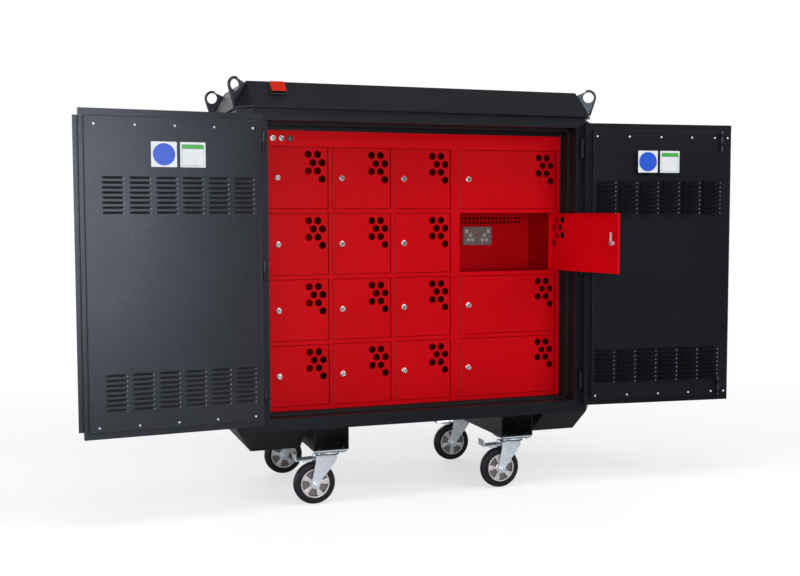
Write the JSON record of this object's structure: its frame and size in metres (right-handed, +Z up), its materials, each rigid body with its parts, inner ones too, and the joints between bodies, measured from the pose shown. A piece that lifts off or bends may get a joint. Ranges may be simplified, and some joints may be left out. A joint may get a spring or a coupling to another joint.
{
  "type": "battery cabinet",
  "caption": "Mobile battery charging cabinet: hipped steel body on braked casters, two outer doors and a nest of vented charging lockers.",
  "frame": {"origin": "on the floor, under the middle of the whole object as it stands with its doors open", "axes": "+X to the right as seen from the front, +Y to the back, +Z up; the lockers face -Y"},
  "size_m": [2.8906, 1.062, 1.791],
  "materials": {
    "body_paint": "satin powder coat, anthracite grey",
    "door_paint": "textured powder coat, anthracite grey",
    "locker_paint": "fine textured powder coat, red",
    "chrome": "polished",
    "zinc": "bright zinc plating",
    "rubber": "matte black rubber",
    "socket_plastic": "smooth moulded plastic",
    "black_plastic": "matte moulded plastic",
    "red_lens": "ribbed translucent red plastic"
  },
  "bodies": {
    "cabinet": {"cabinet_shell": "body_paint", "door_frame": "body_paint", "roof_cap": "body_paint", "base_skirts": "body_paint", "fork_pockets": "body_paint", "lifting_eyes": "body_paint", "lamp_base": "black_plastic", "lamp_lens": "red_lens", "hinge_mounts": "body_paint", "bolt_keeps": "zinc", "door_seal": "rubber", "locker_unit_narrow": "locker_paint", "locker_unit_wide": "locker_paint", "fascia_panel": "locker_paint", "panel_fittings": "chrome", "socket_outlets": "socket_plastic", "caster_mounts": "zinc"},
    "left_door": {"left_door_skin": "door_paint", "left_door_liner": "door_paint"},
    "right_door": {"right_door_skin": "door_paint", "right_door_liner": "door_paint"},
    "handle": {"door_handle": "chrome"},
    "bolt_top": {"slide_bolt_top": "zinc"},
    "bolt_bottom": {"slide_bolt_bottom": "zinc"},
    "panel_button": {"panel_button": "chrome"},
    "locker_r4c1": {"locker_door_r4c1": "locker_paint"},
    "locker_r4c2": {"locker_door_r4c2": "locker_paint"},
    "locker_r4c3": {"locker_door_r4c3": "locker_paint"},
    "locker_r4c4": {"locker_door_r4c4": "locker_paint"},
    "lock_r4c4": {"lock_r4c4": "chrome"},
    "locker_r3c1": {"locker_door_r3c1": "locker_paint"},
    "locker_r3c2": {"locker_door_r3c2": "locker_paint"},
    "locker_r3c3": {"locker_door_r3c3": "locker_paint"},
    "locker_r3c4": {"locker_door_r3c4": "locker_paint"},
    "lock_r3c4": {"lock_r3c4": "chrome"},
    "locker_r2c1": {"locker_door_r2c1": "locker_paint"},
    "locker_r2c2": {"locker_door_r2c2": "locker_paint"},
    "locker_r2c3": {"locker_door_r2c3": "locker_paint"},
    "locker_r2c4": {"locker_door_r2c4": "locker_paint"},
    "lock_r2c4": {"lock_r2c4": "chrome"},
    "locker_r1c1": {"locker_door_r1c1": "locker_paint"},
    "locker_r1c2": {"locker_door_r1c2": "locker_paint"},
    "locker_r1c3": {"locker_door_r1c3": "locker_paint"},
    "locker_r1c4": {"locker_door_r1c4": "locker_paint"},
    "lock_r1c4": {"lock_r1c4": "chrome"},
    "rocker_left": {"socket_rocker_left": "socket_plastic"},
    "rocker_right": {"socket_rocker_right": "socket_plastic"},
    "swivel_front_left": {"caster_fork_front_left": "zinc"},
    "wheel_front_left": {"caster_wheel_front_left": "rubber"},
    "brake_front_left": {"caster_brake_front_left": "zinc"},
    "swivel_front_right": {"caster_fork_front_right": "zinc"},
    "wheel_front_right": {"caster_wheel_front_right": "rubber"},
    "brake_front_right": {"caster_brake_front_right": "zinc"},
    "swivel_back_left": {"caster_fork_back_left": "zinc"},
    "wheel_back_left": {"caster_wheel_back_left": "rubber"},
    "brake_back_left": {"caster_brake_back_left": "zinc"},
    "swivel_back_right": {"caster_fork_back_right": "zinc"},
    "wheel_back_right": {"caster_wheel_back_right": "rubber"},
    "brake_back_right": {"caster_brake_back_right": "zinc"}
  },
  "joints": [
    {"name": "left_door_hinge", "type": "hinge", "parent": "cabinet", "child": "left_door", "pos_m": [-0.71009, -0.24602, 0.999], "axis": [0, 0, -1], "range_deg": [-175.66, 3]},
    {"name": "right_door_hinge", "type": "hinge", "parent": "cabinet", "child": "right_door", "pos_m": [0.72991, -0.24602, 0.999], "axis": [0, 0, 1], "range_deg": [-173.91, 2]},
    {"name": "handle_turn", "type": "hinge", "parent": "left_door", "child": "handle", "pos_m": [-1.36933, -0.28101, 1.01], "axis": [0.0757, -0.9971, 0], "range_deg": [0, 90]},
    {"name": "bolt_top_slide", "type": "slide", "parent": "right_door", "child": "bolt_top", "axis": [0, 0, 1], "range_m": [0, 0.02]},
    {"name": "bolt_bottom_slide", "type": "slide", "parent": "right_door", "child": "bolt_bottom", "axis": [0, 0, -1], "range_m": [0, 0.02]},
    {"name": "panel_button_press", "type": "slide", "parent": "cabinet", "child": "panel_button", "axis": [0, 1, 0], "range_m": [0, 0.003], "stiffness_N_per_m": 300},
    {"name": "locker_r4c1_hinge", "type": "hinge", "parent": "cabinet", "child": "locker_r4c1", "pos_m": [-0.41309, -0.08202, 0.542], "axis": [0, 0, 1], "range_deg": [0, 105]},
    {"name": "locker_r4c2_hinge", "type": "hinge", "parent": "cabinet", "child": "locker_r4c2", "pos_m": [-0.13309, -0.08202, 0.542], "axis": [0, 0, 1], "range_deg": [0, 105]},
    {"name": "locker_r4c3_hinge", "type": "hinge", "parent": "cabinet", "child": "locker_r4c3", "pos_m": [0.14691, -0.08202, 0.542], "axis": [0, 0, 1], "range_deg": [0, 105]},
    {"name": "locker_r4c4_hinge", "type": "hinge", "parent": "cabinet", "child": "locker_r4c4", "pos_m": [0.66291, -0.08202, 0.542], "axis": [0, 0, 1], "range_deg": [0, 101]},
    {"name": "lock_r4c4_turn", "type": "hinge", "parent": "locker_r4c4", "child": "lock_r4c4", "pos_m": [0.24691, -0.08902, 0.542], "axis": [0, -1, 0], "range_deg": [0, 90]},
    {"name": "locker_r3c1_hinge", "type": "hinge", "parent": "cabinet", "child": "locker_r3c1", "pos_m": [-0.41309, -0.08202, 0.822], "axis": [0, 0, 1], "range_deg": [0, 105]},
    {"name": "locker_r3c2_hinge", "type": "hinge", "parent": "cabinet", "child": "locker_r3c2", "pos_m": [-0.13309, -0.08202, 0.822], "axis": [0, 0, 1], "range_deg": [0, 105]},
    {"name": "locker_r3c3_hinge", "type": "hinge", "parent": "cabinet", "child": "locker_r3c3", "pos_m": [0.14691, -0.08202, 0.822], "axis": [0, 0, 1], "range_deg": [0, 105]},
    {"name": "locker_r3c4_hinge", "type": "hinge", "parent": "cabinet", "child": "locker_r3c4", "pos_m": [0.66291, -0.08202, 0.822], "axis": [0, 0, 1], "range_deg": [0, 101]},
    {"name": "lock_r3c4_turn", "type": "hinge", "parent": "locker_r3c4", "child": "lock_r3c4", "pos_m": [0.24691, -0.08902, 0.822], "axis": [0, -1, 0], "range_deg": [0, 90]},
    {"name": "locker_r2c1_hinge", "type": "hinge", "parent": "cabinet", "child": "locker_r2c1", "pos_m": [-0.41309, -0.08202, 1.102], "axis": [0, 0, 1], "range_deg": [0, 105]},
    {"name": "locker_r2c2_hinge", "type": "hinge", "parent": "cabinet", "child": "locker_r2c2", "pos_m": [-0.13309, -0.08202, 1.102], "axis": [0, 0, 1], "range_deg": [0, 105]},
    {"name": "locker_r2c3_hinge", "type": "hinge", "parent": "cabinet", "child": "locker_r2c3", "pos_m": [0.14691, -0.08202, 1.102], "axis": [0, 0, 1], "range_deg": [0, 105]},
    {"name": "locker_r2c4_hinge", "type": "hinge", "parent": "cabinet", "child": "locker_r2c4", "pos_m": [0.66291, -0.08202, 1.102], "axis": [0, 0, 1], "range_deg": [-101, 1.2]},
    {"name": "lock_r2c4_turn", "type": "hinge", "parent": "locker_r2c4", "child": "lock_r2c4", "pos_m": [0.74916, -0.48904, 1.102], "axis": [0.9816, 0.1908, 0], "range_deg": [0, 90]},
    {"name": "locker_r1c1_hinge", "type": "hinge", "parent": "cabinet", "child": "locker_r1c1", "pos_m": [-0.41309, -0.08202, 1.382], "axis": [0, 0, 1], "range_deg": [0, 105]},
    {"name": "locker_r1c2_hinge", "type": "hinge", "parent": "cabinet", "child": "locker_r1c2", "pos_m": [-0.13309, -0.08202, 1.382], "axis": [0, 0, 1], "range_deg": [0, 105]},
    {"name": "locker_r1c3_hinge", "type": "hinge", "parent": "cabinet", "child": "locker_r1c3", "pos_m": [0.14691, -0.08202, 1.382], "axis": [0, 0, 1], "range_deg": [0, 105]},
    {"name": "locker_r1c4_hinge", "type": "hinge", "parent": "cabinet", "child": "locker_r1c4", "pos_m": [0.66291, -0.08202, 1.382], "axis": [0, 0, 1], "range_deg": [0, 101]},
    {"name": "lock_r1c4_turn", "type": "hinge", "parent": "locker_r1c4", "child": "lock_r1c4", "pos_m": [0.24691, -0.08902, 1.382], "axis": [0, -1, 0], "range_deg": [0, 90]},
    {"name": "rocker_left_tilt", "type": "hinge", "parent": "cabinet", "child": "rocker_left", "pos_m": [0.37091, 0.23198, 1.147], "axis": [1, 0, 0], "range_deg": [0, 12]},
    {"name": "rocker_right_tilt", "type": "hinge", "parent": "cabinet", "child": "rocker_right", "pos_m": [0.48291, 0.23198, 1.147], "axis": [1, 0, 0], "range_deg": [0, 12]},
    {"name": "swivel_front_left", "type": "hinge", "parent": "cabinet", "child": "swivel_front_left", "pos_m": [-0.42009, -0.14252, 0.2094], "axis": [0, 0, 1], "continuous": true},
    {"name": "wheel_front_left", "type": "hinge", "parent": "swivel_front_left", "child": "wheel_front_left", "pos_m": [-0.48309, -0.14252, 0.09], "axis": [0, 1, 0], "continuous": true},
    {"name": "brake_front_left", "type": "hinge", "parent": "swivel_front_left", "child": "brake_front_left", "pos_m": [-0.46809, -0.14252, 0.198], "axis": [0, -1, 0], "range_deg": [0, 7]},
    {"name": "swivel_front_right", "type": "hinge", "parent": "cabinet", "child": "swivel_front_right", "pos_m": [0.43991, -0.14252, 0.2094], "axis": [0, 0, 1], "continuous": true},
    {"name": "wheel_front_right", "type": "hinge", "parent": "swivel_front_right", "child": "wheel_front_right", "pos_m": [0.37691, -0.14252, 0.09], "axis": [0, 1, 0], "continuous": true},
    {"name": "brake_front_right", "type": "hinge", "parent": "swivel_front_right", "child": "brake_front_right", "pos_m": [0.39191, -0.14252, 0.198], "axis": [0, -1, 0], "range_deg": [0, 7]},
    {"name": "swivel_back_left", "type": "hinge", "parent": "cabinet", "child": "swivel_back_left", "pos_m": [-0.42009, 0.44348, 0.2094], "axis": [0, 0, 1], "continuous": true},
    {"name": "wheel_back_left", "type": "hinge", "parent": "swivel_back_left", "child": "wheel_back_left", "pos_m": [-0.48309, 0.44348, 0.09], "axis": [0, 1, 0], "continuous": true},
    {"name": "brake_back_left", "type": "hinge", "parent": "swivel_back_left", "child": "brake_back_left", "pos_m": [-0.46809, 0.44348, 0.198], "axis": [0, -1, 0], "range_deg": [0, 7]},
    {"name": "swivel_back_right", "type": "hinge", "parent": "cabinet", "child": "swivel_back_right", "pos_m": [0.43991, 0.44348, 0.2094], "axis": [0, 0, 1], "continuous": true},
    {"name": "wheel_back_right", "type": "hinge", "parent": "swivel_back_right", "child": "wheel_back_right", "pos_m": [0.37691, 0.44348, 0.09], "axis": [0, 1, 0], "continuous": true},
    {"name": "brake_back_right", "type": "hinge", "parent": "swivel_back_right", "child": "brake_back_right", "pos_m": [0.39191, 0.44348, 0.198], "axis": [0, -1, 0], "range_deg": [0, 7]}
  ],
  "couplings": [
    {"joint": "locker_r2c4_hinge", "follows": "right_door_hinge", "ratio": 0.58076}
  ]
}
